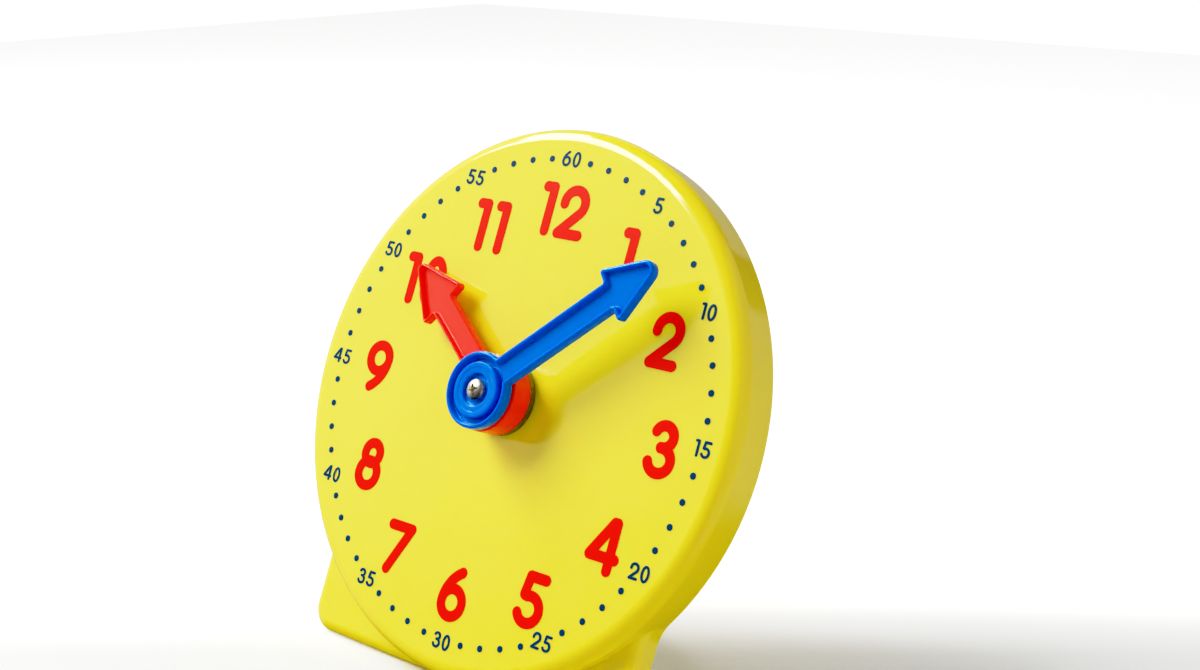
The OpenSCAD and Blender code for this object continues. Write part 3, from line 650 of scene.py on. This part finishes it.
studio = {
    "lightDistance": 0.9,
    # name, azimuth from straight in front of the clock to its right, elevation, width and height in metres,
    # radiance, colour
    "softboxes": [
        ("key softbox", -56, 45, 0.46, 0.44, 14, (0.96, 1.0, 1.0)),
        ("side softbox", -88, 46, 0.40, 0.22, 12, (0.96, 1.0, 1.0)),
    ],
    "fill": ("fill panel", 62, 18, 1.2, 0.9, 1.12, (1.0, 0.96, 0.88)),    # not seen in the gloss
    # soft glows of the room: azimuth, elevation, reach to the edge and to full strength in degrees,
    # radiance, colour
    "glows": [
        (-60, 34, 33, 19, 0.9, (1.0, 1.0, 1.0)),
        (-85, 10, 50, 20, 0.6, (1.0, 1.0, 1.0)),
        (112, 5, 61, 59, 0.5, (1.0, 0.96, 0.9)),
        (214, 18, 29, 26, 0.4, (1.0, 0.96, 0.9)),
    ],
    "room": (0.08, 0.08, 0.08),
    "horizon": (-0.62, -0.42),            # how far down the glows reach: none and full, as sines
    # how the camera answers the light: a soft shoulder over 0.5 and a slight toe
    "film": [(0.02, 0.002), (0.04, 0.013), (0.07, 0.046), (0.15, 0.135), (0.3, 0.295),
             (0.5, 0.5), (0.7, 0.665), (0.9, 0.785), (1.05, 0.84), (1.3, 0.9)],
    "filmWhite": 1.6,
    "floorPaper": (0.9, 0.9, 0.9, 1),
    "floorGlowPaintedShade": (0.02, 1.1),             # painted shade: the paper glows faintly in front of the clock and most behind it, so the floor near the clock is darker
    "glowFrom": 0.008, "glowTo": 0.046,
    "aroundFrom": 0.24, "aroundTo": 0.6,  # and far from it on every side
    "bounce": (0.62, 0.6, 0.57, 1),       # what the paper throws back at the clock
    "floorHalf": 1.15,
    "backdropGlow": 1.8,
}


def towards(azimuth, elevation):
    a, e = radians(azimuth), radians(elevation)
    return Vector((sin(a) * cos(e), -cos(a) * cos(e), sin(e)))


def addFilm():
    view = bpy.context.scene.view_settings
    view.view_transform = "Standard"
    view.use_curve_mapping = True
    film, white = view.curve_mapping, studio["filmWhite"]
    film.white_level = (white, white, white)
    for light, shown in studio["film"]:
        film.curves[3].points.new(light / white, shown)
    film.update()


def addSoftboxes():
    scene = bpy.context.scene
    dial = Vector(spindle["pos_m"])
    for name, azimuth, elevation, width, height, radiance, colour in studio["softboxes"] + [studio["fill"]]:
        box = bpy.data.lights.new(name, "AREA")
        box.shape, box.size, box.size_y = "RECTANGLE", width, height
        box.energy, box.color = radiance * pi * width * height, colour
        light = bpy.data.objects.new(name, box)
        aim = towards(azimuth, elevation)
        light.location = dial + aim * studio["lightDistance"]
        light.rotation_euler = aim.to_track_quat("Z", "Y").to_euler()
        light.visible_glossy = name != studio["fill"][0]
        scene.collection.objects.link(light)


def addRoomLight():
    world = bpy.data.worlds.new("studio")
    bpy.context.scene.world = world
    world.use_nodes = True
    tree = world.node_tree
    direction = addNode(tree, "TexCoord").outputs["Generated"]
    height = addNode(tree, "SeparateXYZ", {}, {0: direction}).outputs["Z"]
    total = addNode(tree, "CombineXYZ", {i: v for i, v in enumerate(studio["room"])}).outputs[0]
    for azimuth, elevation, reach, core, radiance, colour in studio["glows"]:
        facing = addNode(tree, "VectorMath", {"operation": "DOT_PRODUCT", 1: towards(azimuth, elevation)},
                         {0: direction})
        lobe = addNode(tree, "MapRange", {"interpolation_type": "SMOOTHSTEP", "From Min": cos(radians(reach)),
                                          "From Max": cos(radians(core)), "To Max": radiance},
                       {"Value": facing.outputs["Value"]})
        tinted = addNode(tree, "VectorMath", {"operation": "SCALE", 0: colour},
                         {"Scale": lobe.outputs["Result"]})
        total = addNode(tree, "VectorMath", {"operation": "ADD"}, {0: total, 1: tinted.outputs[0]}).outputs[0]
    none, full = studio["horizon"]
    horizon = addNode(tree, "MapRange", {
        "interpolation_type": "SMOOTHSTEP", "From Min": none, "From Max": full}, {"Value": height})
    shown = addNode(tree, "VectorMath", {"operation": "SCALE"},
                    {0: total, "Scale": horizon.outputs["Result"]})
    tree.links.new(shown.outputs[0], tree.nodes["Background"].inputs["Color"])


def addFloor():
    paper = studio["floorPaper"]
    paint, tree, shader = newFinish("matt white paper", {
        "Base Color": paper, "Roughness": 0.9, "Emission Color": paper})
    # Painted shade: the paper's own glow is turned down in front of and around the clock, which darkens the floor
    # there
    heading = radians(cameraView["heading"])
    behind = addNode(tree, "VectorMath", {"operation": "DOT_PRODUCT", 1: (-sin(heading), cos(heading), 0)},
                     {0: addNode(tree, "TexCoord").outputs["Object"]})
    glow = addNode(tree, "MapRange", {
        "interpolation_type": "SMOOTHSTEP", "From Min": studio["glowFrom"], "From Max": studio["glowTo"],
        "To Min": studio["floorGlowPaintedShade"][0], "To Max": studio["floorGlowPaintedShade"][1]},
                   {"Value": behind.outputs["Value"]})
    reach = addNode(tree, "VectorMath", {"operation": "LENGTH"},
                    {0: addNode(tree, "TexCoord").outputs["Object"]})
    around = addNode(tree, "MapRange", {
        "interpolation_type": "SMOOTHSTEP", "From Min": studio["aroundFrom"], "From Max": studio["aroundTo"],
        "To Min": 0, "To Max": studio["floorGlowPaintedShade"][1]}, {"Value": reach.outputs["Value"]})
    glowWithPaintedShade = addNode(tree, "Math", {"operation": "MAXIMUM"},
                       {0: glow.outputs["Result"], 1: around.outputs["Result"]})
    tree.links.new(glowWithPaintedShade.outputs["Value"], shader.inputs["Emission Strength"])
    floor = stageSheet("studio_floor", paint, 0)
    floor.visible_glossy = floor.visible_diffuse = floor.visible_shadow = False
    card = newFinish("pale card", {"Base Color": studio["bounce"], "Roughness": 0.9})[0]
    bounce = stageSheet("studio_bounce", card, -0.001)
    bounce.visible_glossy = bounce.visible_camera = False
    wall = newFinish("pale backdrop", {
        "Base Color": (0, 0, 0, 1), "Specular IOR Level": 0, "Emission Color": paper,
        "Emission Strength": studio["backdropGlow"]})[0]
    bm = bmesh.new()
    bmesh.ops.create_cone(bm, cap_ends=False, segments=48, radius1=3, radius2=3, depth=6)
    backdrop = toObject(bm, "studio_backdrop")
    backdrop.data.materials.append(wall)
    backdrop.visible_glossy = backdrop.visible_diffuse = backdrop.visible_shadow = False


def stageSheet(name, paint, z):
    bm = bmesh.new()
    bmesh.ops.create_grid(bm, x_segments=1, y_segments=1, size=studio["floorHalf"],
                          matrix=Matrix.Translation((0, 0, z)))
    sheet = toObject(bm, name)
    sheet.data.materials.append(paint)
    return sheet


addFilm()
addSoftboxes()
addRoomLight()
addFloor()
print("studio lit")
